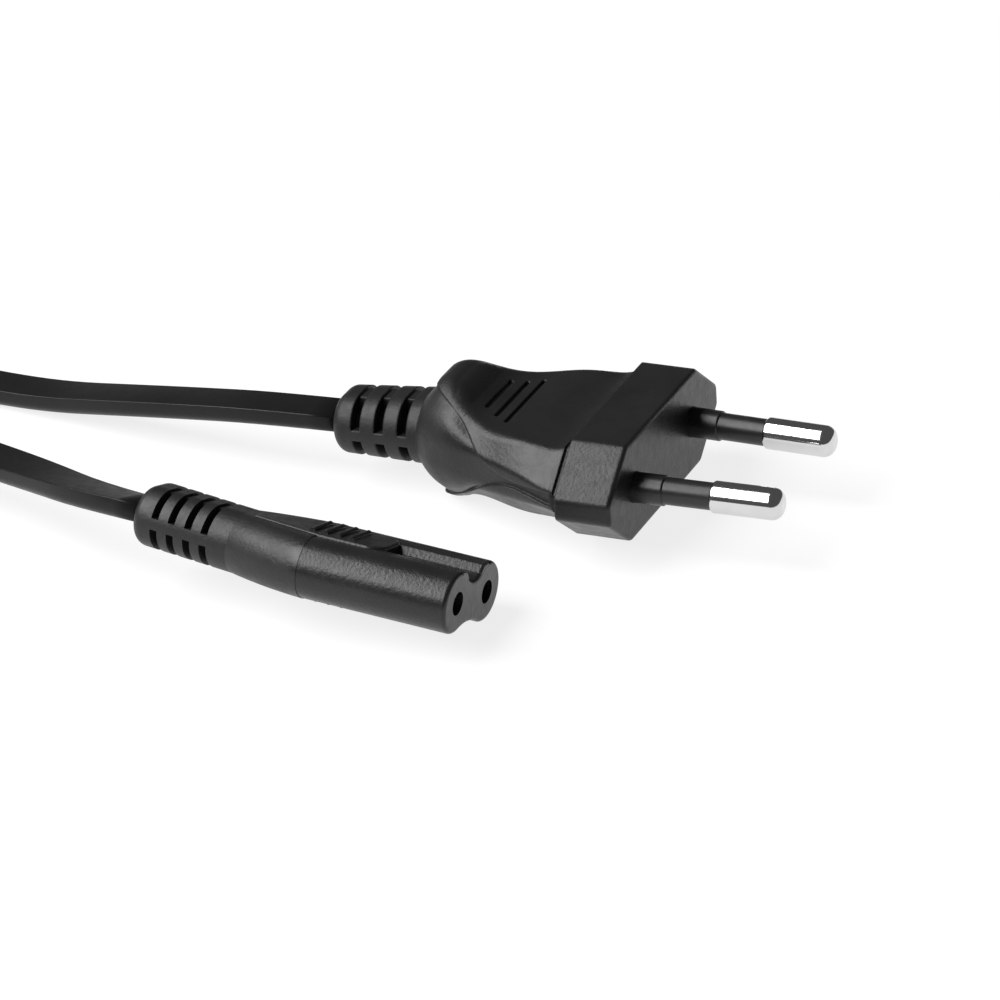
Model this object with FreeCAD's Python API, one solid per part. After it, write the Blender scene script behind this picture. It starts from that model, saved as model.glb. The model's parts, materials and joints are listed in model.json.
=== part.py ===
import FreeCAD, Part
import math
import os
from FreeCAD import Rotation, Vector

# A moulded mains lead. At one end is a figure eight connector with two round
# contacts, at the other a flat two-pin plug, and a flat two-core cord joins them.
# Both ends are modelled with their face at x = 0, looking along +X, and are then
# laid on the surface z = 0. Lengths are in millimetres and angles in degrees.

# Flat cord
CORD_WIDTH = 5.4
CORD_THICKNESS = 3.3
CORE_DIAMETER = 2.1
STRAND_DIAMETER = 1.15
CORE_SPACING = 2.2
CORE_BEND_SHARE = 0.42

# Connector: nose, grip and sleeve
LOBE_SPACING = 8.6
LOBE_RADIUS = 3.75
VALLEY_ABOVE = 2.05
VALLEY_BELOW = 3.0
NOSE_LENGTH = 19.5
CONNECTOR_NECK_AT = 30.0
CONNECTOR_LENGTH = 43.7
NOSE_EDGE_RADIUS = 0.5
TAPER_STEP = 0.06
TAPER_FULLNESS = 0.36
CONNECTOR_SLEEVE_WIDTH = 9.6
CONNECTOR_SLEEVE_HEIGHT = 7.6
CONNECTOR_SLEEVE_END_RADIUS = 1.3
GRIP_START = 10.8
GRIP_END = 28.6
GRIP_HALF_WIDTH = 3.4
GRIP_END_HALF_WIDTH = 1.6
GRIP_RISE = 0.25
GRIP_RIB_START = 15.4
GRIP_RIB_COUNT = 4
GRIP_RIB_PITCH = 1.7
GRIP_RIB_WIDTH = 0.8
GRIP_FRONT_RADIUS = 2.2
CONNECTOR_SLOT_COUNT = 4
CONNECTOR_SLOT_PITCH = 2.35
CONNECTOR_SLOT_WIDTH = 1.0
CONNECTOR_LAST_SLOT = 40.3

# Connector: carrier and contacts
HOLE_DIAMETER = 2.9
FRONT_WALL = 1.2
CONTACT_BORE = 2.45
CONTACT_WALL = 0.35
CONTACT_START = 1.6
CONTACT_LENGTH = 12.0
CONTACT_SEAM = 0.4
CARRIER_END = 16.5
CARRIER_WALL = 1.1
CARRIER_WEB_HALF_HEIGHT = 1.4
CRIMP_DIAMETER = 1.9
CRIMP_LENGTH = 4.5

# Plug: head, grip and sleeve
HEAD_WIDTH = 35.3
HEAD_HEIGHT = 12.9
HEAD_DEPTH = 7.2
HEAD_TOP_HALF_WIDTH = 11.3
HEAD_SIDE_HALF_HEIGHT = 1.35
HEAD_CORNER_RADIUS = 1.4
HEAD_SIDE_RADIUS = 1.1
HEAD_EDGE_RADIUS = 0.5
GROOVE_WIDTH = 1.0
GROOVE_DEPTH = 0.9
NECK_WIDTH = 17.2
NECK_HEIGHT = 16.1
NECK_AT = 27.1
PANEL_END = 29.4
PLUG_SLEEVE_AT = 31.0
PLUG_LENGTH = 43.3
PLUG_SLEEVE_FRONT_WIDTH = 11.0
PLUG_SLEEVE_FRONT_HEIGHT = 8.8
PLUG_SLEEVE_WIDTH = 9.4
PLUG_SLEEVE_HEIGHT = 7.8
PLUG_SLEEVE_END_RADIUS = 1.5
PANEL_RISE = 0.55
NECK_RISE = 0.35
RIDGE_COUNT = 5
RIDGE_PITCH = 1.75
RIDGE_FIRST = 18.3
RIDGE_WIDTH = 0.55
RIDGE_LENGTH = 12.4
RIDGE_SHORTER_BY = 2.2
RIDGE_DEPTH = 0.4
PLUG_SLOT_COUNT = 3
PLUG_SLOT_PITCH = 3.3
PLUG_SLOT_WIDTH = 1.3
PLUG_LAST_SLOT = 39.7

# Plug: pins and what holds them
PIN_DIAMETER = 4.0
PIN_LENGTH = 19.0
PIN_SPACING = 18.6
PIN_CONVERGENCE = 1.6
PIN_TIP_LENGTH = 9.0
PIN_TIP_RADIUS = 1.4
PIN_SHOULDER_RADIUS = 0.35
PIN_SHANK_DIAMETER = 2.7
PIN_SLEEVE_DIAMETER = 3.4
PIN_COLLAR_DIAMETER = 3.8
PIN_COLLAR_LENGTH = 3.9
PIN_FLANGE_DIAMETER = 5.4
BRIDGE_FRONT = 2.6
BRIDGE_THICKNESS = 3.4
BRIDGE_WIDTH = 27.0
BRIDGE_HEIGHT = 8.6
BARREL_DIAMETER = 2.8
BARREL_LENGTH = 5.0
BARREL_GAP = 1.0

# Slots of both sleeves: what is left between them
SPINE_HALF_WIDTH = 1.3
SPINE_NOTCH_DEPTH = 0.3
SIDE_SPINE_HALF_HEIGHT = 0.7
SLOT_FLOOR_GAP = 0.55

# How both ends lie
CONNECTOR_ROLL = -17.6
CONNECTOR_NOSE_DOWN = 5.2
PLUG_YAW = 1.1
PLUG_AHEAD = 9.4
PLUG_ASIDE = 36.2
CONNECTOR_SLEEVE_BEND = -6.0
PLUG_SLEEVE_DROOP = -2.7
CORD_LIFT = 0.1
SHEATH_END_IN_PLUG = 25.0
SHEATH_END_IN_CONNECTOR = 29.0

# Coil of the spare length
COIL_CENTRE = Vector(-127.0, 35.7, 0.0)
COIL_TURN_PITCH = 5.5
COIL_LAYER_PITCH = 3.4
COIL_MEAN_RADIUS = 32.5
COIL_LAYERS = 4
COIL_PLUG_ANGLE = 50.0
COIL_CONNECTOR_ANGLE = 288.0
COIL_STUB = 20.0
COIL_EDGE_BEVEL = 1.2

# Routes of the two free stretches, from the gland to the coil
PLUG_ROUTE = [
    (-23.2, 34.7, 7.1),
    (-34.2, 35.6, 5.7),
    (-45.2, 36.9, 4.0),
    (-56.0, 38.6, 2.4),
    (-66.6, 39.9, 1.75),
    (-74.9, 41.1, 1.75),
    (-82.5, 44.6, 1.75),
]
CONNECTOR_ROUTE = [
    (-31.4, 3.5, 8.6),
    (-40.5, 8.0, 7.4),
    (-49.9, 11.9, 6.5),
    (-60.2, 14.9, 6.5),
    (-70.9, 15.6, 7.9),
    (-81.2, 14.0, 10.3),
    (-90.3, 10.9, 11.75),
]


# Plane shapes, all drawn across X


def wire_of_corners(x, corners, radii):
    """A closed outline at x: straight sides and one round at each (y, z) corner."""
    edges, ends = [], []
    count = len(corners)
    for i in range(count):
        before = Vector(x, *corners[i - 1])
        here = Vector(x, *corners[i])
        after = Vector(x, *corners[(i + 1) % count])
        back = (before - here).normalize()
        on = (after - here).normalize()
        half = back.getAngle(on) / 2
        reach = radii[i] / math.tan(half)
        middle = (back + on).normalize() * (radii[i] / math.sin(half) - radii[i])
        ends.append((here + back * reach, here + middle, here + on * reach))
    for i in range(count):
        start, middle, end = ends[i]
        edges.append(Part.Arc(start, middle, end).toShape())
        edges.append(Part.LineSegment(end, ends[(i + 1) % count][0]).toShape())
    return Part.Wire(edges)


def hexagon(x, half_width, half_top, half_height, half_side, top_radius, side_radius):
    """A flattened hexagon with narrow upright ends."""
    corners = [
        (half_top, half_height),
        (half_width, half_side),
        (half_width, -half_side),
        (half_top, -half_height),
        (-half_top, -half_height),
        (-half_width, -half_side),
        (-half_width, half_side),
        (-half_top, half_height),
    ]
    radii = [top_radius, side_radius, side_radius, top_radius] * 2
    return wire_of_corners(x, corners, radii)


def stadium(x, width, height):
    """Two half rounds joined by flats."""
    straight = (width - height) / 2
    radius = height / 2
    right = Part.Arc(
        Vector(x, straight, radius), Vector(x, straight + radius, 0), Vector(x, straight, -radius)
    )
    left = Part.Arc(
        Vector(x, -straight, -radius), Vector(x, -straight - radius, 0), Vector(x, -straight, radius)
    )
    bottom = Part.LineSegment(Vector(x, straight, -radius), Vector(x, -straight, -radius))
    top = Part.LineSegment(Vector(x, -straight, radius), Vector(x, straight, radius))
    return Part.Wire([right.toShape(), bottom.toShape(), left.toShape(), top.toShape()])


def figure_eight(x, spacing, radius, above, below):
    """Two round lobes joined by a web, with a round hollow above and below it."""
    half = spacing / 2

    def touch(valley):
        hollow = (half**2 + valley**2 - radius**2) / (2 * (radius - valley))
        share = radius / (radius + hollow)
        return half - half * share, (valley + hollow) * share

    (top_y, top_z), (bottom_y, bottom_z) = touch(above), touch(below)
    arcs = [
        [(top_y, top_z), (half + radius, 0), (bottom_y, -bottom_z)],
        [(bottom_y, -bottom_z), (0, -below), (-bottom_y, -bottom_z)],
        [(-bottom_y, -bottom_z), (-half - radius, 0), (-top_y, top_z)],
        [(-top_y, top_z), (0, above), (top_y, top_z)],
    ]
    return Part.Wire([Part.Arc(*[Vector(x, y, z) for y, z in arc]).toShape() for arc in arcs])


def extruded(wire, length):
    """The solid of a wire drawn at its front, reaching back by length."""
    return Part.Face(wire).extrude(Vector(-length, 0, 0))


def round_bar(x_front, x_back, diameter, y=0.0):
    """A round bar along X between two stations."""
    return Part.makeCylinder(diameter / 2, x_front - x_back, Vector(x_back, y, 0), Vector(1, 0, 0))


def block(x_back, x_front, half_y, z_low, z_high):
    """A block centred across the axis."""
    return Part.makeBox(x_front - x_back, 2 * half_y, z_high - z_low, Vector(x_back, -half_y, z_low))


def edges_at(shape, x):
    """The edges of a shape that lie wholly in the plane at x."""
    near = 1e-4
    return [e for e in shape.Edges if abs(e.BoundBox.XMin - x) < near and abs(e.BoundBox.XMax - x) < near]


# Bars and cords along a route


def corner_facts(points):
    """For each inner point of a route: the arc's tangent length, radius and turn."""
    facts = []
    for before, here, after in zip(points, points[1:], points[2:]):
        arriving, leaving = here - before, after - here
        turn = arriving.getAngle(leaving)
        reach = 0.45 * min(arriving.Length, leaving.Length)
        facts.append((reach, reach / math.tan(turn / 2), turn))
    return facts


def swept(face, points):
    """A solid of one section carried along straight runs and tangent arcs. Also its end face."""
    facts = [(0.0, 0.0, 0.0)] + corner_facts(points) + [(0.0, 0.0, 0.0)]
    solids = []
    length = 0.0
    for i in range(len(points) - 1):
        along = points[i + 1] - points[i]
        straight = along.Length - facts[i][0] - facts[i + 1][0]
        along.normalize()
        step = along * straight
        solids.append(face.extrude(step))
        face = face.translated(step)
        length += straight
        if i + 2 < len(points):
            reach, radius, turn = facts[i + 1]
            leaving = (points[i + 2] - points[i + 1]).normalize()
            axis = along.cross(leaving).normalize()
            centre = points[i + 1] - along * reach + axis.cross(along) * radius
            solids.append(face.revolve(centre, axis, math.degrees(turn)))
            face = face.rotated(centre, axis, math.degrees(turn))
            length += radius * turn
    return solids[0].multiFuse(solids[1:]).removeSplitter(), face, length


def round_section(centre, along, diameter):
    """A round face across a direction."""
    circle = Part.Circle(centre, along, diameter / 2)
    return Part.Face(Part.Wire([circle.toShape()]))


def core_points(y_cord, y_contact, x_cord, x_contact):
    """A core's route from the cord's end to its contact: an S in the plane z = 0."""
    reach = (x_contact - x_cord) * CORE_BEND_SHARE
    return [
        Vector(x_cord, y_cord, 0),
        Vector(x_cord + reach / 2, y_cord, 0),
        Vector(x_contact - reach, y_contact, 0),
        Vector(x_contact, y_contact, 0),
    ]


def core(points):
    """An insulated core along its route."""
    return swept(round_section(points[0], points[1] - points[0], CORE_DIAMETER), points)[0]


# Connector


def contact(side):
    """A rolled tube with a seam, open at its mouth, and a crimped barrel behind it."""
    y = side * LOBE_SPACING / 2
    front, back = -CONTACT_START, -CONTACT_START - CONTACT_LENGTH
    outside = CONTACT_BORE + 2 * CONTACT_WALL
    tube = round_bar(front, back, outside, y)
    barrel = round_bar(back, back - CRIMP_LENGTH, CRIMP_DIAMETER, y)
    bore = round_bar(front + 1, back + CONTACT_WALL, CONTACT_BORE, y)
    wire_hole = round_bar(back - CRIMP_LENGTH / 4, back - CRIMP_LENGTH - 1, STRAND_DIAMETER, y)
    seam = Part.makeBox(
        CONTACT_LENGTH, CONTACT_SEAM, outside, Vector(back + 2 * CONTACT_WALL, y - CONTACT_SEAM / 2, 0)
    )
    return tube.fuse(barrel).cut(bore).cut(wire_hole).cut(seam).removeSplitter()


def contact_hole(side):
    """The round hole of the face and the room for the whole contact behind it."""
    y = side * LOBE_SPACING / 2
    outside = CONTACT_BORE + 2 * CONTACT_WALL
    mouth = round_bar(1, -CONTACT_START, HOLE_DIAMETER, y)
    room = round_bar(-CONTACT_START, -CONTACT_START - CONTACT_LENGTH, outside, y)
    barrel = round_bar(
        -CONTACT_START - CONTACT_LENGTH, -CONTACT_START - CONTACT_LENGTH - CRIMP_LENGTH, CRIMP_DIAMETER, y
    )
    return mouth.fuse(room).fuse(barrel)


def contact_carrier():
    """The hard figure eight insert that holds both contacts."""
    lobe = CONTACT_BORE / 2 + CONTACT_WALL + CARRIER_WALL
    outline = figure_eight(-FRONT_WALL, LOBE_SPACING, lobe, CARRIER_WEB_HALF_HEIGHT, CARRIER_WEB_HALF_HEIGHT)
    carrier = extruded(outline, CARRIER_END - FRONT_WALL)
    for side in (-1, 1):
        carrier = carrier.cut(contact_hole(side))
    return carrier.removeSplitter()


def connector_strand(side):
    """The bare wire from the core's end into the crimped barrel."""
    back = -CONTACT_START - CONTACT_LENGTH
    y = side * LOBE_SPACING / 2
    return round_bar(back - CRIMP_LENGTH / 4, connector_core_end(), STRAND_DIAMETER, y)


def connector_core_end():
    """Where a core's insulation stops, just behind the barrel."""
    return -CONTACT_START - CONTACT_LENGTH - CRIMP_LENGTH - BARREL_GAP


def bent_sleeve(shape):
    """Swings a piece of the sleeve about the sheath's end, as the cord pulls it aside."""
    upright = connector_turn().inverted().multVec(Vector(0, 0, 1))
    return shape.rotated(Vector(-SHEATH_END_IN_CONNECTOR, 0, 0), upright, CONNECTOR_SLEEVE_BEND)


def bent_point(point):
    return bent_sleeve(Part.Vertex(point)).Point


def connector_core(side):
    y_cord, y_contact = side * CORE_SPACING / 2, side * LOBE_SPACING / 2
    points = core_points(y_cord, y_contact, -SHEATH_END_IN_CONNECTOR, connector_core_end())
    points[0], points[1] = bent_point(points[0]), bent_point(points[1])
    return core(points)


def sleeve_slots(last, count, pitch, width, sleeve_width, sleeve_height, start=0.0, narrowing=0.0):
    """Rows of slots round a flexible sleeve, parted by a spine above, below and at each side.

    A shallow notch runs over the upper and lower spine at each slot. narrowing is the height that
    the sleeve loses for each millimetre behind start.
    """
    deep = 2.0
    slots = []
    for i in range(count):
        x = -last + i * pitch
        ring = extruded(stadium(x + width / 2, sleeve_width + deep, sleeve_height + deep), width)
        kept = stadium(x + width, CORD_WIDTH + 2 * SLOT_FLOOR_GAP, CORD_THICKNESS + 2 * SLOT_FLOOR_GAP)
        ring = ring.cut(extruded(kept, 2 * width))
        high = sleeve_height
        ring = ring.cut(block(x - width, x + width, SPINE_HALF_WIDTH, -high, high))
        wide = sleeve_width
        ring = ring.cut(block(x - width, x + width, wide, -SIDE_SPINE_HALF_HEIGHT, SIDE_SPINE_HALF_HEIGHT))
        slots.append(ring)
        top = (sleeve_height - narrowing * (-x - start)) / 2 - SPINE_NOTCH_DEPTH
        for up in (1, -1):
            low, high = sorted((up * top, up * (top + deep)))
            slots.append(block(x - width / 2, x + width / 2, SPINE_HALF_WIDTH + 0.1, low, high))
    return slots


def connector_grip(up):
    """The pad that fills the hollow behind the nose, with its cross ribs. up is 1 or -1."""
    top = LOBE_RADIUS + GRIP_RISE
    wide, narrow = GRIP_HALF_WIDTH, GRIP_END_HALF_WIDTH
    plan = [
        Vector(-GRIP_START, wide, 0),
        Vector(-NOSE_LENGTH, wide, 0),
        Vector(-GRIP_END, narrow, 0),
        Vector(-GRIP_END, -narrow, 0),
        Vector(-NOSE_LENGTH, -wide, 0),
        Vector(-GRIP_START, -wide, 0),
        Vector(-GRIP_START, wide, 0),
    ]
    pad = Part.Face(Part.makePolygon(plan)).extrude(Vector(0, 0, top))
    front = [e for e in pad.Edges if e.BoundBox.XMin > -GRIP_START - 0.01 and e.BoundBox.ZLength > 1]
    pad = pad.makeFillet(GRIP_FRONT_RADIUS, front)
    rounded = [e for e in pad.Edges if e.BoundBox.ZMin > top - 0.01]
    pad = pad.makeFillet(GRIP_RISE * 1.5, rounded)
    for i in range(GRIP_RIB_COUNT):
        x = -GRIP_RIB_START - i * GRIP_RIB_PITCH
        rib = Part.makeCylinder(
            GRIP_RIB_WIDTH / 2, 2 * GRIP_HALF_WIDTH - 1.6, Vector(x, -GRIP_HALF_WIDTH + 0.8, top), Vector(0, 1, 0)
        )
        pad = pad.fuse(rib)
    if up < 0:
        pad = pad.rotated(Vector(0, 0, 0), Vector(1, 0, 0), 180)
    return pad


def connector_body():
    """The soft moulding: figure eight nose, taper, and slotted sleeve round the cord."""
    nose = extruded(figure_eight(0, LOBE_SPACING, LOBE_RADIUS, VALLEY_ABOVE, VALLEY_BELOW), NOSE_LENGTH)
    nose = nose.makeFillet(NOSE_EDGE_RADIUS, edges_at(nose, 0))
    width = LOBE_SPACING + 2 * LOBE_RADIUS + 2 * TAPER_STEP
    height = 2 * LOBE_RADIUS + 2 * TAPER_STEP
    halfway = -(NOSE_LENGTH + CONNECTOR_NECK_AT) / 2
    narrowing = (1 - TAPER_FULLNESS) * width + TAPER_FULLNESS * CONNECTOR_SLEEVE_WIDTH
    neck = stadium(-CONNECTOR_NECK_AT, CONNECTOR_SLEEVE_WIDTH, CONNECTOR_SLEEVE_HEIGHT)
    taper = Part.makeLoft(
        [
            stadium(-NOSE_LENGTH, width, height),
            stadium(halfway, narrowing, (height + CONNECTOR_SLEEVE_HEIGHT) / 2),
            bent_sleeve(neck),
        ],
        True,
    )
    sleeve = extruded(neck, CONNECTOR_LENGTH - CONNECTOR_NECK_AT)
    sleeve = sleeve.makeFillet(CONNECTOR_SLEEVE_END_RADIUS, edges_at(sleeve, -CONNECTOR_LENGTH))
    body = nose.fuse([taper, bent_sleeve(sleeve), connector_grip(1), connector_grip(-1)])
    slots = sleeve_slots(
        CONNECTOR_LAST_SLOT,
        CONNECTOR_SLOT_COUNT,
        CONNECTOR_SLOT_PITCH,
        CONNECTOR_SLOT_WIDTH,
        CONNECTOR_SLEEVE_WIDTH,
        CONNECTOR_SLEEVE_HEIGHT,
    )
    body = body.cut([bent_sleeve(slot) for slot in slots])
    body = body.cut(bent_sleeve(sheath_room(SHEATH_END_IN_CONNECTOR, CONNECTOR_LENGTH)))
    lobe = CONTACT_BORE / 2 + CONTACT_WALL + CARRIER_WALL
    outline = figure_eight(-FRONT_WALL, LOBE_SPACING, lobe, CARRIER_WEB_HALF_HEIGHT, CARRIER_WEB_HALF_HEIGHT)
    body = body.cut(extruded(outline, CARRIER_END - FRONT_WALL))
    for side in (-1, 1):
        body = body.cut([contact_hole(side), connector_strand(side), connector_core(side)])
    return body.removeSplitter()


def sheath_room(start, end):
    """The flat cord's own space inside a moulding, open at its back."""
    return extruded(stadium(-start, CORD_WIDTH, CORD_THICKNESS), end - start + 1)


def sheath_end(start, end):
    """The end of the cord's sheath that a moulding holds."""
    return extruded(stadium(-start, CORD_WIDTH, CORD_THICKNESS), end - start)


# Plug


def pin_frame(shape, side):
    """Puts a piece drawn on the X axis at one pin, turned towards the other."""
    shape = shape.rotated(Vector(0, 0, 0), Vector(0, 0, 1), -side * PIN_CONVERGENCE)
    return shape.translated(Vector(0, side * PIN_SPACING / 2, 0))


def barrel_back():
    """The back of a pin's barrel, measured along the pin."""
    return -BRIDGE_FRONT - BRIDGE_THICKNESS - BARREL_LENGTH


def pin_straight():
    """A turned pin: domed tip, shank under the sleeve, flange in the bridge and barrel."""
    tip_start = PIN_LENGTH - PIN_TIP_LENGTH
    flange_front = -BRIDGE_FRONT - BRIDGE_THICKNESS / 3
    flange_back = -BRIDGE_FRONT - 2 * BRIDGE_THICKNESS / 3
    tip = round_bar(PIN_LENGTH, tip_start, PIN_DIAMETER)
    tip = tip.makeFillet(PIN_TIP_RADIUS, edges_at(tip, PIN_LENGTH))
    tip = tip.makeFillet(PIN_SHOULDER_RADIUS, edges_at(tip, tip_start))
    shank = round_bar(tip_start, flange_back, PIN_SHANK_DIAMETER)
    flange = round_bar(flange_front, flange_back, PIN_FLANGE_DIAMETER)
    barrel = round_bar(flange_back, barrel_back(), BARREL_DIAMETER)
    wire_hole = round_bar(barrel_back() + 0.75 * BARREL_LENGTH, barrel_back() - 1, STRAND_DIAMETER)
    return tip.fuse([shank, flange, barrel]).cut(wire_hole).removeSplitter()


def pin_sleeve_straight():
    """The insulating sleeve of a pin, with a thicker collar where it leaves the face."""
    tip_start = PIN_LENGTH - PIN_TIP_LENGTH
    back = -BRIDGE_FRONT
    sleeve = round_bar(tip_start, back, PIN_SLEEVE_DIAMETER)
    collar = round_bar(PIN_COLLAR_LENGTH, back, PIN_COLLAR_DIAMETER)
    collar = collar.makeFillet(0.15, edges_at(collar, PIN_COLLAR_LENGTH))
    return sleeve.fuse(collar).cut(round_bar(tip_start + 1, back - 1, PIN_SHANK_DIAMETER)).removeSplitter()


def pin_bridge_blank():
    """The hard bar that holds both pins at their spacing, before it is moulded round them."""
    front = -BRIDGE_FRONT
    return extruded(stadium(front, BRIDGE_WIDTH, BRIDGE_HEIGHT), BRIDGE_THICKNESS)


def plug_core_end(side):
    """Where a core's insulation stops behind its pin, as x and y."""
    back = barrel_back() - BARREL_GAP
    turn = math.radians(PIN_CONVERGENCE)
    return back * math.cos(turn), side * (PIN_SPACING / 2 - back * math.sin(turn))


def plug_strand(side):
    """The bare wire from the core's end into the pin's barrel."""
    wire = round_bar(barrel_back() + 0.75 * BARREL_LENGTH, barrel_back() - BARREL_GAP, STRAND_DIAMETER)
    return pin_frame(wire, side)


def drooped_sleeve(shape):
    """Swings a piece of the plug's sleeve down about the sheath's end, under the cord's weight."""
    return shape.rotated(Vector(-SHEATH_END_IN_PLUG, 0, 0), Vector(0, 1, 0), PLUG_SLEEVE_DROOP)


def drooped_point(point):
    return drooped_sleeve(Part.Vertex(point)).Point


def plug_core(side):
    x_end, y_end = plug_core_end(side)
    points = core_points(side * CORE_SPACING / 2, y_end, -SHEATH_END_IN_PLUG, x_end - 0.05)
    points[1] = drooped_point(points[1])
    return core(points)


def plug_head():
    """The flattened hexagon behind the face."""
    outline = hexagon(
        0,
        HEAD_WIDTH / 2,
        HEAD_TOP_HALF_WIDTH,
        HEAD_HEIGHT / 2,
        HEAD_SIDE_HALF_HEIGHT,
        HEAD_CORNER_RADIUS,
        HEAD_SIDE_RADIUS,
    )
    head = extruded(outline, HEAD_DEPTH)
    return head.makeFillet(HEAD_EDGE_RADIUS, edges_at(head, 0))


def grip_sections(inset):
    """Outlines of the grip from the head to the neck, set in all round by inset."""
    waist = [
        (HEAD_DEPTH + GROOVE_WIDTH, 15.9, 11.1, 5.2, 1.3, 1.5, 0.8),
        (12.5, 14.1, 10.8, 4.9, 1.5, 1.6, 1.0),
        (17.0, 12.2, 9.8, 4.85, 1.9, 1.8, 1.3),
        (21.8, 10.4, 7.4, 5.3, 2.5, 3.0, 2.2),
        (NECK_AT, NECK_WIDTH / 2, 3.7, NECK_HEIGHT / 2, 3.6, 5.4, 5.4),
        (PANEL_END - 0.7, NECK_WIDTH / 2 - 0.4, 3.5, NECK_HEIGHT / 2 - 0.5, 3.3, 5.4, 5.4),
    ]
    return [
        hexagon(-at, half - inset, top - inset / 2, high - inset, side, max(r1 - inset / 2, 0.5), r2)
        for at, half, top, high, side, r1, r2 in waist
    ]


def side_web_outline():
    """The edge between the raised panels and the smooth sides, in the plane y = 0."""
    half = [
        (HEAD_DEPTH, 0.9),
        (12.5, 0.6),
        (16.0, 0.6),
        (19.2, 1.6),
        (22.6, 4.2),
        (26.0, 6.3),
        (PANEL_END + 1, 7.6),
    ]
    upper = Part.BSplineCurve()
    upper.interpolate([Vector(-at, 0, high) for at, high in half])
    lower = Part.BSplineCurve()
    lower.interpolate([Vector(-at, 0, -high) for at, high in half])
    first, last = half[0], half[-1]
    front = Part.LineSegment(Vector(-first[0], 0, first[1]), Vector(-first[0], 0, -first[1]))
    back = Part.LineSegment(Vector(-last[0], 0, -last[1]), Vector(-last[0], 0, last[1]))
    edges = Part.__sortEdges__([upper.toShape(), lower.toShape(), front.toShape(), back.toShape()])
    return Part.Wire(edges)


def plug_panels():
    """The raised grip panels above and below, with a lip at the neck."""
    whole = Part.makeLoft(grip_sections(0.0), True)
    web = Part.Face(side_web_outline()).extrude(Vector(0, 4 * HEAD_WIDTH, 0))
    web.translate(Vector(0, -2 * HEAD_WIDTH, 0))
    return whole.cut(web)


def plug_waist():
    """The smooth body between the panels, from the head through the neck to the sleeve."""
    neck = grip_sections(PANEL_RISE)[:-2] + grip_sections(NECK_RISE)[-2:-1]
    neck.append(
        hexagon(-PANEL_END, NECK_WIDTH / 2 - 1.6, 3.1, NECK_HEIGHT / 2 - 1.8, 3.2, 4.6, 4.6)
    )
    neck.append(
        hexagon(
            -PLUG_SLEEVE_AT,
            PLUG_SLEEVE_FRONT_WIDTH / 2,
            2.5,
            PLUG_SLEEVE_FRONT_HEIGHT / 2,
            2.0,
            2.8,
            2.8,
        )
    )
    return Part.makeLoft(neck, True)


def plug_ridges(up):
    """Cross grooves of the grip, longest near the head, as cutters. up is 1 or -1."""
    grooves = []
    for i in range(RIDGE_COUNT):
        length = RIDGE_LENGTH - i * RIDGE_SHORTER_BY
        x = -RIDGE_FIRST - i * RIDGE_PITCH
        high = NECK_HEIGHT / 2 + 1
        bar = Part.makeBox(RIDGE_WIDTH, length, high, Vector(x - RIDGE_WIDTH / 2, -length / 2, 0))
        ends = [e for e in bar.Edges if e.BoundBox.ZLength > high - 0.01]
        bar = bar.makeFillet(RIDGE_WIDTH * 0.45, ends)
        if up < 0:
            bar = bar.rotated(Vector(0, 0, 0), Vector(1, 0, 0), 180)
        grooves.append(bar)
    return grooves


def plug_sleeve():
    """The flexible sleeve round the cord, before its slots are cut."""
    sleeve = Part.makeLoft(
        [
            stadium(-PLUG_SLEEVE_AT + 0.6, PLUG_SLEEVE_FRONT_WIDTH, PLUG_SLEEVE_FRONT_HEIGHT),
            stadium(-PLUG_LENGTH, PLUG_SLEEVE_WIDTH, PLUG_SLEEVE_HEIGHT),
        ],
        True,
    )
    return sleeve.makeFillet(PLUG_SLEEVE_END_RADIUS, edges_at(sleeve, -PLUG_LENGTH))


def plug_body():
    """The soft moulding of the plug: head, grip panels, neck and slotted sleeve."""
    groove = extruded(
        hexagon(
            -HEAD_DEPTH + 0.5,
            HEAD_WIDTH / 2 - GROOVE_DEPTH - 0.9,
            HEAD_TOP_HALF_WIDTH - 0.6,
            HEAD_HEIGHT / 2 - GROOVE_DEPTH - 0.5,
            0.9,
            1.0,
            0.5,
        ),
        GROOVE_WIDTH + 1.0,
    )
    panels = plug_panels()
    bottom_of_grooves = Part.makeLoft(grip_sections(RIDGE_DEPTH), True)
    for up in (-1, 1):
        panels = panels.cut([bar.cut(bottom_of_grooves) for bar in plug_ridges(up)])
    body = plug_head().fuse([groove, panels, plug_waist(), drooped_sleeve(plug_sleeve())])
    slots = sleeve_slots(
        PLUG_LAST_SLOT,
        PLUG_SLOT_COUNT,
        PLUG_SLOT_PITCH,
        PLUG_SLOT_WIDTH,
        PLUG_SLEEVE_FRONT_WIDTH,
        PLUG_SLEEVE_FRONT_HEIGHT,
        PLUG_SLEEVE_AT - 0.6,
        (PLUG_SLEEVE_FRONT_HEIGHT - PLUG_SLEEVE_HEIGHT) / (PLUG_LENGTH - PLUG_SLEEVE_AT + 0.6),
    )
    body = body.cut([drooped_sleeve(slot) for slot in slots])
    body = body.cut(drooped_sleeve(sheath_room(SHEATH_END_IN_PLUG, PLUG_LENGTH)))
    body = body.cut(pin_bridge_blank())
    for side in (-1, 1):
        collar = round_bar(1, -BRIDGE_FRONT, PIN_COLLAR_DIAMETER)
        barrel = round_bar(-BRIDGE_FRONT, barrel_back(), BARREL_DIAMETER)
        inner = [pin_frame(collar, side), pin_frame(barrel, side), plug_strand(side), plug_core(side)]
        body = body.cut(inner)
    return body.removeSplitter()


# Lay everything down


def connector_turn():
    return Rotation(Vector(0, 1, 0), CONNECTOR_NOSE_DOWN) * Rotation(Vector(1, 0, 0), CONNECTOR_ROLL)


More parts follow.
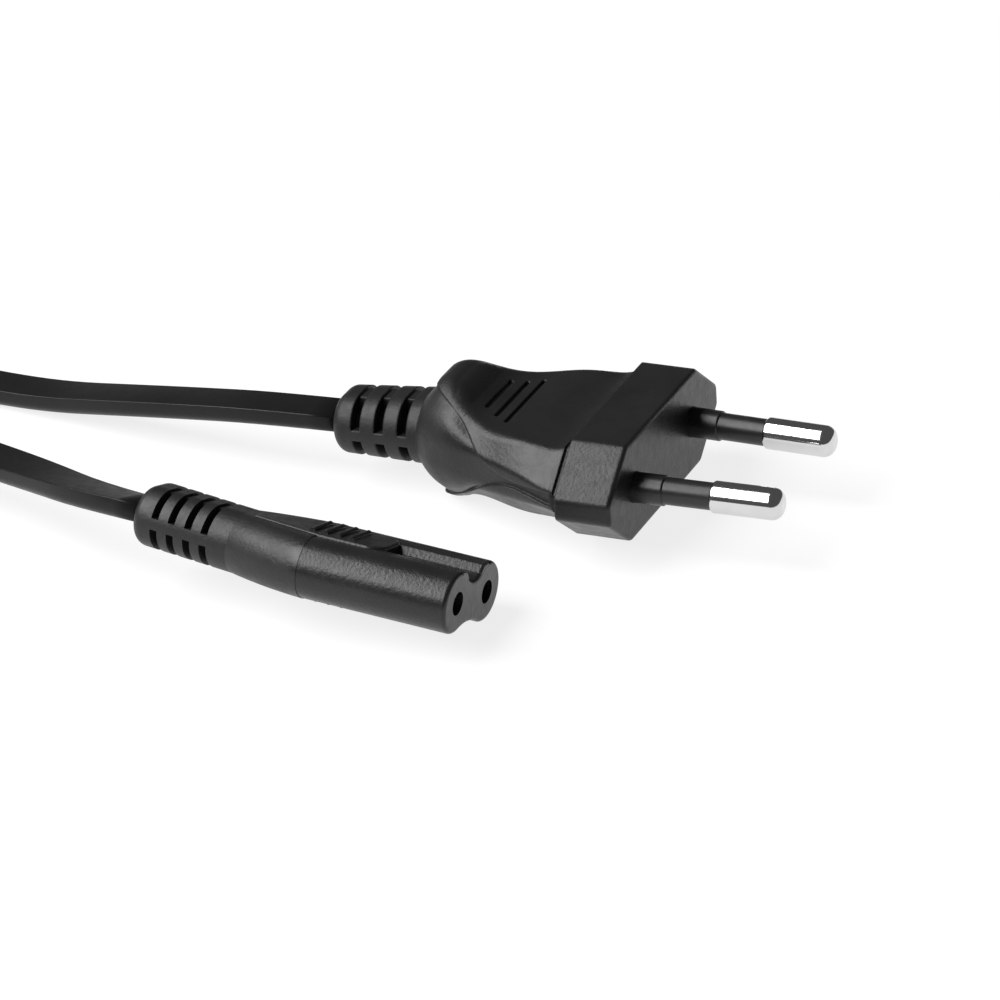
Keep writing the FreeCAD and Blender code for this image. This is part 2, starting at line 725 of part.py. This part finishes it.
def turned_connector(shape):
    """The connector's tilt on the surface, about its face centre."""
    shape = shape.rotated(Vector(0, 0, 0), Vector(1, 0, 0), CONNECTOR_ROLL)
    return shape.rotated(Vector(0, 0, 0), Vector(0, 1, 0), CONNECTOR_NOSE_DOWN)


def cord_section(exit_point, rotation):
    """The cord's outline as a face at a gland, turned with the moulding."""
    face = Part.Face(stadium(0, CORD_WIDTH, CORD_THICKNESS))
    face = face.rotated(Vector(0, 0, 0), rotation.Axis, math.degrees(rotation.Angle))
    return face.translated(exit_point)


def coil_meeting(angle, way, height):
    """The middle of the coil's stub and the way it runs into the ring."""
    turn = math.radians(angle)
    radius = COIL_MEAN_RADIUS + COIL_TURN_PITCH / 2
    on_ring = COIL_CENTRE + Vector(radius * math.cos(turn), radius * math.sin(turn), height)
    along = Vector(-way * math.sin(turn), way * math.cos(turn), 0)
    return on_ring - along * COIL_STUB, along


def coil_ring():
    """The outer shape of the wound turns."""
    inner = COIL_MEAN_RADIUS - COIL_TURN_PITCH
    outer = COIL_MEAN_RADIUS + COIL_TURN_PITCH
    height = (COIL_LAYERS - 1) * COIL_LAYER_PITCH + CORD_THICKNESS + CORD_LIFT
    ring = Part.makeCylinder(outer, height).cut(Part.makeCylinder(inner, height))
    rims = [e for e in ring.Edges if e.BoundBox.ZLength < 0.01]
    return ring.makeChamfer(COIL_EDGE_BEVEL, rims).translated(COIL_CENTRE)


def main():
    nodes = {}
    nodes["connector_body"] = connector_body()
    nodes["contact_carrier"] = contact_carrier()
    nodes["connector_sheath_end"] = bent_sleeve(sheath_end(SHEATH_END_IN_CONNECTOR, CONNECTOR_LENGTH))
    for side, name in ((-1, "near"), (1, "far")):
        nodes["contact_" + name] = contact(side)
        nodes["connector_strands_" + name] = connector_strand(side)
        nodes["connector_core_" + name] = connector_core(side)
    for name in nodes:
        nodes[name] = turned_connector(nodes[name])
    box = nodes["connector_body"].optimalBoundingBox()
    face_centre = Vector(-box.Center.x, -box.Center.y, -box.ZMin)
    for name in nodes:
        nodes[name] = nodes[name].translated(face_centre)

    plug = {}
    plug["plug_body"] = plug_body()
    plug["plug_sheath_end"] = drooped_sleeve(sheath_end(SHEATH_END_IN_PLUG, PLUG_LENGTH))
    bridge = pin_bridge_blank()
    for side, name in ((-1, "near"), (1, "far")):
        plug["pin_" + name] = pin_frame(pin_straight(), side)
        plug["pin_sleeve_" + name] = pin_frame(pin_sleeve_straight(), side)
        plug["plug_strands_" + name] = plug_strand(side)
        plug["plug_core_" + name] = plug_core(side)
        bridge = bridge.cut(plug["pin_" + name]).cut(plug["pin_sleeve_" + name])
    plug["pin_bridge"] = bridge
    plug_height = -plug["plug_body"].optimalBoundingBox().ZMin
    plug_place = Vector(face_centre.x + PLUG_AHEAD, face_centre.y + PLUG_ASIDE, plug_height)
    for name, shape in plug.items():
        shape = shape.rotated(Vector(0, 0, 0), Vector(0, 0, 1), PLUG_YAW)
        nodes[name] = shape.translated(plug_place)

    plug_turn = Rotation(Vector(0, 0, 1), PLUG_YAW)
    upright = Vector(0, 0, 1)
    gland_turn = Rotation(upright, CONNECTOR_SLEEVE_BEND) * connector_turn()
    plug_exit = plug_place + plug_turn.multVec(drooped_point(Vector(-PLUG_LENGTH, 0, 0)))
    plug_gland_turn = plug_turn * Rotation(Vector(0, 1, 0), PLUG_SLEEVE_DROOP)
    connector_exit = face_centre + connector_turn().multVec(bent_point(Vector(-CONNECTOR_LENGTH, 0, 0)))
    low = CORD_THICKNESS / 2 + CORD_LIFT
    high = low + (COIL_LAYERS - 1) * COIL_LAYER_PITCH
    plug_meeting, plug_along = coil_meeting(COIL_PLUG_ANGLE, 1, low)
    connector_meeting, connector_along = coil_meeting(COIL_CONNECTOR_ANGLE, -1, high)

    plug_points = [plug_exit] + [Vector(*p) for p in PLUG_ROUTE] + [plug_meeting]
    connector_points = [connector_exit] + [Vector(*p) for p in CONNECTOR_ROUTE] + [connector_meeting]
    coil = coil_ring()
    stretches = (
        ("cord_at_plug", plug_points, plug_gland_turn, plug_along),
        ("cord_at_connector", connector_points, gland_turn, connector_along),
    )
    for name, points, turn, along in stretches:
        start = cord_section(points[0], leaving_turn(points, turn))
        solid, end, length = swept(start, points)
        radii = [round(radius, 1) for _, radius, _ in corner_facts(points)]
        print(name, "radii", radii, "length", round(length, 2))
        print(name, "points", [tuple(round(c, 2) for c in p) for p in points])
        print(name, "volume over section times length", round(solid.Volume / (end.Area * length), 5))
        stub = end.extrude((points[-1] - points[-2]).normalize() * COIL_STUB)
        coil = coil.fuse(stub)
        nodes[name] = solid
    nodes["cord_coil"] = coil.removeSplitter()

    os.makedirs("parts", exist_ok=True)
    for name, shape in nodes.items():
        if shape.ShapeType == "Compound" and len(shape.Solids) == 1:
            shape = shape.Solids[0]
        print(name, len(shape.Solids), "solid", shape.isValid(), round(shape.Volume, 1))
        shape.exportStep("parts/" + name + ".step")
    print("face centre", face_centre, "plug place", plug_place)
    print("connector exit", connector_exit, "plug exit", plug_exit)


def leaving_turn(points, turn):
    """The moulding's turn, swung on to the first run of a route."""
    back = turn.multVec(Vector(-1, 0, 0))
    return Rotation(back, points[1] - points[0]) * turn


main()
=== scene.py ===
import json
import math

import bpy
from mathutils import Matrix, Vector


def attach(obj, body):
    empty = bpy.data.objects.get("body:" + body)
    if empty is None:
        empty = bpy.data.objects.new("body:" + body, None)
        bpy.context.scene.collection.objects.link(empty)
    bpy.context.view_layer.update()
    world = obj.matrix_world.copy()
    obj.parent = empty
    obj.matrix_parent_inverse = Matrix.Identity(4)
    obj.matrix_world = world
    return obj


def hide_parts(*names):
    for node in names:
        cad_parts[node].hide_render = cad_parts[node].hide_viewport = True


MM = 0.001

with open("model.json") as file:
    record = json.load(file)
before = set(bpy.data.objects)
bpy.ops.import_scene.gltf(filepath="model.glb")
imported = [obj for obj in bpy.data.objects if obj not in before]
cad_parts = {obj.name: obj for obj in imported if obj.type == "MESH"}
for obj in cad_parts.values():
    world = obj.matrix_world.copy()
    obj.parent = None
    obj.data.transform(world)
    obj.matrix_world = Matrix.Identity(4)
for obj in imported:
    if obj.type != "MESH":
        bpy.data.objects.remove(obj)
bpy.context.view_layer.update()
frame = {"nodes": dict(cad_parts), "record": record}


# Camera at the photograph's angle

FOCAL_PX = 5400.0
IMAGE_PX = 1000.0
SENSOR_MM = 36.0
CAMERA_PLACE = Vector((278.18, -502.82, 301.55)) * MM
CAMERA_RIGHT = Vector((0.9064, 0.4174, -0.065))
CAMERA_FORWARD = Vector((-0.4001, 0.7987, -0.4494))

back = -CAMERA_FORWARD.normalized()
right = (CAMERA_RIGHT - CAMERA_RIGHT.dot(back) * back).normalized()
up = back.cross(right)
camera_data = bpy.data.cameras.new("camera")
camera_data.sensor_width = SENSOR_MM
camera_data.lens = SENSOR_MM * FOCAL_PX / IMAGE_PX
camera_data.clip_start = 0.01
camera = bpy.data.objects.new("camera", camera_data)
axes = Matrix((right, up, back)).transposed().to_4x4()
camera.matrix_world = Matrix.Translation(CAMERA_PLACE) @ axes
bpy.context.collection.objects.link(camera)
bpy.context.scene.camera = camera
bpy.context.scene.view_settings.view_transform = "Standard"


# Sizes and routes, in millimetres and degrees

CORD_WIDTH = 5.5
CORD_THICKNESS = 2.6
CORD_TOP_CORNER = 0.16
CORD_LOW_CORNER = 1.45
CORD_CORNER_STEPS = 7

# The ends follow part.py's route, apart from their heights near the coil
CONNECTOR_END = [
    (-21.7123, 1.5302, 8.9468),
    (-31.4, 3.5, 8.6),
    (-40.5, 8.0, 7.4),
    (-49.9, 11.9, 6.5),
    (-60.2, 14.9, 6.5),
    (-70.9, 15.6, 7.0),
    (-81.2, 14.0, 8.3),
    (-90.3, 10.9, 9.45),
    (-97.09, 8.36, 9.7),
]
PLUG_END = [
    (-12.1440, 35.3691, 7.1963),
    (-23.2, 34.7, 7.1),
    (-34.2, 35.6, 5.7),
    (-45.2, 36.9, 4.0),
    (-56.0, 38.6, 2.1),
    (-66.6, 39.9, 1.45),
    (-74.9, 41.1, 1.4),
    (-82.5, 44.6, 1.4),
    (-89.02, 49.85, 1.4),
]
CONNECTOR_ROLL = 17.6
ROLL_FADE = 30.0

COIL_CENTRE = (-127.0, 35.7)
COIL_OUTER = 35.25
COIL_INNER = 29.75
COIL_FIRST_HEIGHT = 1.4
COIL_LAYER_PITCH = 2.75

# Radius and layer of each of the coil's cells, in the order that the cord fills them
COIL_CELLS = [
    (COIL_OUTER, 0),
    (COIL_INNER, 0),
    (COIL_INNER, 1),
    (COIL_OUTER, 1),
    (COIL_OUTER, 2),
    (COIL_INNER, 2),
    (COIL_INNER, 3),
    (COIL_OUTER, 3),
]
COIL_PLUG_ANGLE = 50.0
COIL_CONNECTOR_ANGLE = 288.0
COIL_FULL_TURNS = 7
COIL_CHANGE_WIDTH = 42.0
COIL_POINTS = 186

TIE_ANGLE = 200.0
TIE_LIFT = 0.55
TIE_LIFT_WIDTH = 14.0
TIE_WIDTH = 4.5
TIE_HALF_ACROSS = 5.65
TIE_LOW = 0.62
TIE_HIGH = 11.75
TIE_CORNER = 1.5
TIE_CORNER_STEPS = 6
TIE_THICKNESS = 0.55
TIE_EDGE_WIDTH = 0.2
TIE_EDGE_THINNING = 0.25

# Start angle and the two signs of each corner of a rounded rectangle
CORNERS = [(0.0, 1, 1), (90.0, -1, 1), (180.0, -1, -1), (270.0, 1, -1)]


def smooth_step(t):
    t = min(max(t, 0.0), 1.0)
    return t * t * (3 - 2 * t)


def mesh_object(name, vertices, faces, smooth_sides=False):
    """A new linked object. Its four-sided faces are shaded smooth if asked."""
    mesh = bpy.data.meshes.new(name)
    mesh.from_pydata(vertices, [], faces)
    mesh.validate()
    if smooth_sides:
        for polygon in mesh.polygons:
            polygon.use_smooth = len(polygon.vertices) == 4
    made = bpy.data.objects.new(name, mesh)
    bpy.context.collection.objects.link(made)
    return made


# Cord


def coil_points():
    """Control points of the turns, from the plug's side up to the connector's."""
    swept = COIL_FULL_TURNS * 360.0 + COIL_CONNECTOR_ANGLE - COIL_PLUG_ANGLE
    cell = swept / len(COIL_CELLS)
    half_step = swept / (COIL_POINTS - 2) / 2
    points = []
    for i in range(COIL_POINTS):
        gone = (2 * i - 1) * half_step
        radius, layer = COIL_CELLS[0]
        for k in range(1, len(COIL_CELLS)):
            part = smooth_step((gone - k * cell) / COIL_CHANGE_WIDTH + 0.5)
            radius += part * (COIL_CELLS[k][0] - COIL_CELLS[k - 1][0])
            layer += part * (COIL_CELLS[k][1] - COIL_CELLS[k - 1][1])
        angle = COIL_PLUG_ANGLE + gone
        from_tie = (angle - TIE_ANGLE + 180.0) % 360.0 - 180.0
        lift = TIE_LIFT * math.exp(-((from_tie / TIE_LIFT_WIDTH) ** 2))
        reach = radius / math.cos(math.radians(half_step))
        points.append(
            (
                COIL_CENTRE[0] + reach * math.cos(math.radians(angle)),
                COIL_CENTRE[1] + reach * math.sin(math.radians(angle)),
                COIL_FIRST_HEIGHT + layer * COIL_LAYER_PITCH + lift,
            )
        )
    return points


def smooth_line(points):
    """Points along a NURBS spline with these control points, in metres."""
    curve = bpy.data.curves.new("cord_line", "CURVE")
    curve.dimensions = "3D"
    curve.resolution_u = 5
    spline = curve.splines.new("NURBS")
    spline.points.add(len(points) - 1)
    for place, point in zip(spline.points, points):
        place.co = (*(Vector(point) * MM), 1.0)
    spline.order_u = 3
    spline.use_endpoint_u = True
    holder = bpy.data.objects.new("cord_line", curve)
    mesh = bpy.data.meshes.new_from_object(holder)
    line = [v.co.copy() for v in mesh.vertices]
    bpy.data.meshes.remove(mesh)
    bpy.data.objects.remove(holder)
    bpy.data.curves.remove(curve)
    return line


def flat_cord_outline():
    """Section of the flat cord, in metres: a flat top, and rounder corners below."""
    outline = []
    for first, side, over in CORNERS:
        radius = CORD_TOP_CORNER if over > 0 else CORD_LOW_CORNER
        for k in range(CORD_CORNER_STEPS + 1):
            angle = math.radians(first + 90.0 * k / CORD_CORNER_STEPS)
            x = side * (CORD_WIDTH / 2 - radius) + radius * math.cos(angle)
            y = over * CORD_THICKNESS / 2 - over * radius + radius * math.sin(angle)
            outline.append((x * MM, y * MM))
    return outline


def cord_skin(line):
    """The flat section along the line, turned with the connector's roll at its start."""
    outline = flat_cord_outline()
    vertices, faces = [], []
    gone = 0.0
    for i, point in enumerate(line):
        if i:
            gone += (point - line[i - 1]).length
        ahead = (line[min(i + 1, len(line) - 1)] - line[max(i - 1, 0)]).normalized()
        side = Vector((0, 0, 1)).cross(ahead).normalized()
        over = ahead.cross(side)
        roll = math.radians(CONNECTOR_ROLL) * (1 - smooth_step(gone / (ROLL_FADE * MM)))
        across = side * math.cos(roll) + over * math.sin(roll)
        above = over * math.cos(roll) - side * math.sin(roll)
        vertices += [point + across * x + above * y for x, y in outline]
    n = len(outline)
    for i in range(len(line) - 1):
        for k in range(n):
            a, b = i * n + k, i * n + (k + 1) % n
            faces.append((a, b, b + n, a + n))
    faces.append(tuple(reversed(range(n))))
    faces.append(tuple(range((len(line) - 1) * n, len(line) * n)))
    return mesh_object("cord", vertices, faces, smooth_sides=True)


route = CONNECTOR_END + list(reversed(coil_points())) + list(reversed(PLUG_END))
line = smooth_line(route)
cord = cord_skin(line)


# Strap round the coil


def strap_ring(middle, across, along, shift, reach):
    """A rounded rectangle in the plane of across and up, shifted along the bundle."""
    centre_z, half_up = (TIE_LOW + TIE_HIGH) / 2, (TIE_HIGH - TIE_LOW) / 2
    ring = []
    for first, side, over in CORNERS:
        for k in range(TIE_CORNER_STEPS + 1):
            angle = math.radians(first + 90.0 * k / TIE_CORNER_STEPS)
            x = side * (TIE_HALF_ACROSS - TIE_CORNER) + reach * math.cos(angle)
            z = centre_z + over * (half_up - TIE_CORNER) + reach * math.sin(angle)
            ring.append((middle + across * x + along * shift + Vector((0, 0, z))) * MM)
    return ring


def strap_loop(name, middle, across):
    """A flat strap round a bundle, thinner at its two edges."""
    along = across.cross(Vector((0, 0, 1)))
    edge = TIE_WIDTH / 2
    shoulder = edge - TIE_EDGE_WIDTH
    thinner = TIE_EDGE_THINNING * TIE_THICKNESS / 2
    inner, outer = [], []
    for shift, thinned in ((-edge, thinner), (-shoulder, 0.0), (shoulder, 0.0), (edge, thinner)):
        reach = TIE_CORNER + thinned
        inner.append(strap_ring(middle, across, along, shift, reach))
        reach = TIE_CORNER + TIE_THICKNESS - thinned
        outer.append(strap_ring(middle, across, along, shift, reach))
    rings = inner + list(reversed(outer))
    n = len(rings[0])
    vertices = [v for ring in rings for v in ring]
    faces = []
    for r in range(len(rings)):
        s = (r + 1) % len(rings)
        for k in range(n):
            j = (k + 1) % n
            faces.append((r * n + k, r * n + j, s * n + j, s * n + k))
    return mesh_object(name, vertices, faces, smooth_sides=True)


tie_angle = math.radians(TIE_ANGLE)
tie_out = Vector((math.cos(tie_angle), math.sin(tie_angle), 0))
tie_middle = Vector((*COIL_CENTRE, 0)) + tie_out * (COIL_INNER + COIL_OUTER) / 2
coil_tie = strap_loop("coil_tie", tie_middle, tie_out)
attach(coil_tie, "root")

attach(cord, "root")
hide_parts("cord_at_connector", "cord_coil", "cord_at_plug")


# Shoulders of the connector's nose, beside the groove between its lobes

FACE_CENTRE = Vector((21.7277, 0.0, 4.9861))
NOSE_AHEAD = Vector((0.995884, 0.0, -0.090633))
NOSE_ACROSS = Vector((-0.02744, 0.95318, -0.30114))
NOSE_UP = NOSE_AHEAD.cross(NOSE_ACROSS)

# Section across and up from the middle of the face, round SHOULDER_MIDDLE
SHOULDER_SECTION = [
    (1.62, 2.60),
    (2.00, 3.12),
    (2.29, 3.51),
    (2.37, 3.59),
    (2.49, 3.645),
    (2.66, 3.68),
    (3.05, 3.715),
    (3.9, 3.752),
    (3.9, 3.2),
    (2.6, 2.7),
    (1.9, 2.4),
]
SHOULDER_MIDDLE = (2.7, 3.1)

# Place along the nose and how far the section is drawn in there
SHOULDER_STATIONS = [(-0.02, 0.25), (-0.12, 0.08), (-0.35, 0.0), (-13.0, 0.0)]


def nose_shoulder(name, side):
    """A slim strip that squares the lobe's inner shoulder, its front end rounded."""
    vertices, faces = [], []
    for x, inset in SHOULDER_STATIONS:
        for y, z in SHOULDER_SECTION:
            away = Vector((y - SHOULDER_MIDDLE[0], z - SHOULDER_MIDDLE[1]))
            y, z = Vector((y, z)) - away.normalized() * inset
            place = FACE_CENTRE + NOSE_AHEAD * x + NOSE_ACROSS * side * y + NOSE_UP * z
            vertices.append(place * MM)
    n = len(SHOULDER_SECTION)
    last = (len(SHOULDER_STATIONS) - 1) * n
    for i in range(len(SHOULDER_STATIONS) - 1):
        for k in range(n):
            a, b = i * n + k, i * n + (k + 1) % n
            faces.append((a, b, b + n, a + n) if side > 0 else (b, a, a + n, b + n))
    ends = [tuple(reversed(range(n))), tuple(range(last, last + n))]
    faces += ends if side > 0 else [tuple(reversed(end)) for end in ends]
    made = mesh_object(name, vertices, faces)
    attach(made, "root")
    return made


shoulders = [
    nose_shoulder("nose_shoulder_near", -1),
    nose_shoulder("nose_shoulder_far", 1),
]


# Materials, with grain, depth and edge in millimetres

PATCH_SIZE = 6.0
GLOSS_PATCH_SIZE = 1.3
METAL_PATCH_SIZE = 2.5
METAL_GLOSS_SIZE = 0.6
METAL_LINE_SIZE = 0.35
METAL_LINE_DEPTH = 0.0015
BACK_DULLNESS = 0.13
DULLNESS_FADE = 1.5
NOSE_END = 2.3
NECK_START = 6.0
PLASTIC_IOR = 1.5


class Shader:
    """A small helper that adds nodes to one material."""

    def __init__(self, name):
        self.material = bpy.data.materials.new(name)
        self.material.use_nodes = True
        self.tree = self.material.node_tree
        self.surface = self.tree.nodes["Principled BSDF"]
        self.place = self.add("ShaderNodeTexCoord").outputs["Object"]

    def add(self, kind, **values):
        node = self.tree.nodes.new(kind)
        for key, value in values.items():
            if hasattr(node, key):
                setattr(node, key, value)
            else:
                node.inputs[key.replace("_", " ")].default_value = value
        return node

    def link(self, source, target):
        self.tree.links.new(source, target)

    def set(self, **values):
        for key, value in values.items():
            self.surface.inputs[key.replace("_", " ")].default_value = value

    def drive(self, target, source):
        self.link(source, self.surface.inputs[target])

    def noise(self, grain, detail=3.0, stretch=(1, 1, 1)):
        """Noise with cells of about grain millimetres."""
        scale = tuple(s / (grain * MM) for s in stretch)
        mapping = self.add("ShaderNodeMapping", Scale=scale)
        self.link(self.place, mapping.inputs["Vector"])
        noise = self.add("ShaderNodeTexNoise", Scale=1.0, Detail=detail)
        self.link(mapping.outputs["Vector"], noise.inputs["Vector"])
        return noise.outputs["Fac"]

    def ramp(self, source, low, high, start=0.3, end=0.7):
        node = self.add("ShaderNodeMapRange")
        node.inputs["From Min"].default_value = start
        node.inputs["From Max"].default_value = end
        node.inputs["To Min"].default_value = low
        node.inputs["To Max"].default_value = high
        self.link(source, node.inputs["Value"])
        return node.outputs["Result"]

    def blend(self, source, first, second):
        node = self.add("ShaderNodeMix", data_type="RGBA")
        self.link(source, node.inputs[0])
        node.inputs[6].default_value = (*first, 1.0)
        node.inputs[7].default_value = (*second, 1.0)
        return node.outputs[2]

    def combine(self, operation, first, second):
        node = self.add("ShaderNodeMath", operation=operation)
        self.link(first, node.inputs[0])
        self.link(second, node.inputs[1])
        return node.outputs[0]

    def bump(self, height, depth, under=None):
        node = self.add("ShaderNodeBump", Strength=1.0, Distance=depth * MM)
        self.link(height, node.inputs["Height"])
        if under:
            self.link(under, node.inputs["Normal"])
        return node.outputs["Normal"]

    def seen_directly(self):
        """One for camera, glossy and transmitted rays, nought for light thrown on."""
        path = self.add("ShaderNodeLightPath")
        total = path.outputs["Is Camera Ray"]
        for kind in ("Is Glossy Ray", "Is Transmission Ray"):
            total = self.combine("MAXIMUM", total, path.outputs[kind])
        return total

    def soft_edges(self, radius):
        node = self.add("ShaderNodeBevel", samples=6, Radius=radius * MM)
        return node.outputs["Normal"]


def moulded(name, dark, light, rough, grain, depth, edge, gloss=0.5, duller_behind=None):
    """Grained plastic with faint patches. Its edges look rounded if edge isn't 0.

    It is duller behind duller_behind, a place along X, if one is given.
    """
    s = Shader(name)
    s.drive("Base Color", s.blend(s.ramp(s.noise(PATCH_SIZE), 0.0, 1.0), dark, light))
    roughness = s.ramp(s.noise(GLOSS_PATCH_SIZE), rough - 0.04, rough + 0.05)
    if duller_behind is not None:
        station = s.add("ShaderNodeSeparateXYZ")
        s.link(s.place, station.inputs["Vector"])
        fade = ((duller_behind - DULLNESS_FADE) * MM, duller_behind * MM)
        extra = s.ramp(station.outputs["X"], BACK_DULLNESS, 0.0, *fade)
        roughness = s.combine("ADD", roughness, extra)
    s.drive("Roughness", roughness)
    under = s.soft_edges(edge) if edge else None
    s.drive("Normal", s.bump(s.noise(grain, detail=2.0), depth, under))
    s.set(IOR=PLASTIC_IOR, Specular_IOR_Level=gloss)
    return s.material


def metal(name, base, tint, rough, edge=None):
    """Plated or rolled metal. Drawn lines and soft edges come with an edge radius."""
    s = Shader(name)
    s.drive("Base Color", s.blend(s.ramp(s.noise(METAL_PATCH_SIZE), 0.0, 1.0), base, tint))
    s.set(Metallic=1.0)
    streaks = s.noise(METAL_GLOSS_SIZE, stretch=(0.15, 1, 1))
    s.drive("Roughness", s.ramp(streaks, rough - 0.03, rough + 0.05))
    if edge:
        lines = s.noise(METAL_LINE_SIZE, stretch=(0.1, 1, 1))
        s.drive("Normal", s.bump(lines, METAL_LINE_DEPTH, s.soft_edges(edge)))
    return s.material


BLACK = (0.011, 0.011, 0.0115), (0.016, 0.016, 0.0165)
BLACK_INSERT = (0.02, 0.02, 0.021), (0.03, 0.03, 0.031)
BLACK_SLEEVE = (0.012, 0.012, 0.013), (0.018, 0.018, 0.019)
BLACK_SHEATH = (0.008, 0.008, 0.0085), (0.011, 0.011, 0.0115)
BROWN = (0.16, 0.06, 0.025), (0.22, 0.09, 0.035)
BLUE = (0.02, 0.09, 0.32), (0.03, 0.12, 0.4)
NICKEL = (0.70, 0.70, 0.705), (0.65, 0.65, 0.655)
BRASS = (0.78, 0.6, 0.32), (0.7, 0.52, 0.26)
COPPER = (0.78, 0.38, 0.2), (0.7, 0.33, 0.17)

MATERIALS = {
    "moulding": moulded(
        "moulding",
        *BLACK,
        rough=0.33,
        grain=0.42,
        depth=0.038,
        edge=0.0,
        gloss=0.45,
        duller_behind=NOSE_END,
    ),
    "insert": moulded("insert", *BLACK_INSERT, rough=0.4, grain=0.5, depth=0.006, edge=0.1),
    "pin_sleeve": moulded(
        "pin_sleeve", *BLACK_SLEEVE, rough=0.34, grain=0.5, depth=0.004, edge=0.12
    ),
    "sheath": moulded(
        "sheath", *BLACK_SHEATH, rough=0.33, grain=0.5, depth=0.008, edge=0.0, gloss=0.23
    ),
    "core_brown": moulded("core_brown", *BROWN, rough=0.4, grain=0.5, depth=0.004, edge=0.1),
    "core_blue": moulded("core_blue", *BLUE, rough=0.4, grain=0.5, depth=0.004, edge=0.1),
    "pin_metal": metal("pin_metal", *NICKEL, rough=0.10),
    "contact_metal": metal("contact_metal", *BRASS, rough=0.22, edge=0.05),
    "strands": metal("strands", *COPPER, rough=0.25, edge=0.05),
}

# The plug's moulding is a little less glossy than the connector's
plug_moulding = moulded(
    "plug_moulding",
    *BLACK,
    rough=0.35,
    grain=0.42,
    depth=0.034,
    edge=0.4,
    gloss=0.37,
    duller_behind=NECK_START,
)

cord.data.materials.append(MATERIALS["sheath"])
coil_tie.data.materials.append(MATERIALS["insert"])
for shoulder in shoulders:
    shoulder.data.materials.append(MATERIALS["moulding"])
for part in frame["record"]["subparts"]:
    material = MATERIALS[part["material_slot"]]
    if part["node"] == "plug_body":
        material = plug_moulding
    for slot in frame["nodes"][part["node"]].material_slots:
        slot.material = material


# Floor, surroundings and light, in metres

FLOOR_HALF = 3.0
FLOOR_GLOW = 0.82
FLOOR_SHADOWED_SHARE = 0.22
FLOOR_BOUNCE = 0.8
SURROUNDINGS = 0.09
SOFTBOX_PLACE = (-0.84, -0.62, 0.9)
SOFTBOX_SIZE = (1.16, 1.53)
SOFTBOX_WATTS = 39.0

# The floor glows to the rays that see it, and bounces light to the others
floor_corners = [
    (-FLOOR_HALF, -FLOOR_HALF, 0.0),
    (FLOOR_HALF, -FLOOR_HALF, 0.0),
    (FLOOR_HALF, FLOOR_HALF, 0.0),
    (-FLOOR_HALF, FLOOR_HALF, 0.0),
]
floor = mesh_object("floor", floor_corners, [(0, 1, 2, 3)])
floor_shader = Shader("floor")
floor_shader.set(Roughness=1.0, Specular_IOR_Level=0.0, Emission_Color=(1, 1, 1, 1))
shown = floor_shader.seen_directly()
floor_shader.drive(
    "Base Color",
    floor_shader.blend(shown, (FLOOR_BOUNCE,) * 3, (FLOOR_SHADOWED_SHARE,) * 3),
)
floor_shader.drive("Emission Strength", floor_shader.ramp(shown, 0.0, FLOOR_GLOW, 0.0, 1.0))
floor.data.materials.append(floor_shader.material)

# White to the camera, and dark to what the pins mirror
world = bpy.data.worlds.new("world")
world.use_nodes = True
sky = world.node_tree.nodes["Background"]
sky.inputs["Color"].default_value = (1, 1, 1, 1)
sky_path = world.node_tree.nodes.new("ShaderNodeLightPath")
sky_level = world.node_tree.nodes.new("ShaderNodeMapRange")
sky_level.inputs["To Min"].default_value = SURROUNDINGS
sky_level.inputs["To Max"].default_value = 1.0
world.node_tree.links.new(sky_path.outputs["Is Camera Ray"], sky_level.inputs["Value"])
world.node_tree.links.new(sky_level.outputs["Result"], sky.inputs["Strength"])
bpy.context.scene.world = world

# Its right edge sets where the bright band on the pins ends
softbox_data = bpy.data.lights.new("softbox", "AREA")
softbox_data.shape = "RECTANGLE"
softbox_data.size, softbox_data.size_y = SOFTBOX_SIZE
softbox_data.energy = SOFTBOX_WATTS
softbox = bpy.data.objects.new("softbox", softbox_data)
softbox.location = SOFTBOX_PLACE
softbox.rotation_euler = Vector((0, 0, -1)).to_track_quat("-Z", "Y").to_euler()
bpy.context.collection.objects.link(softbox)
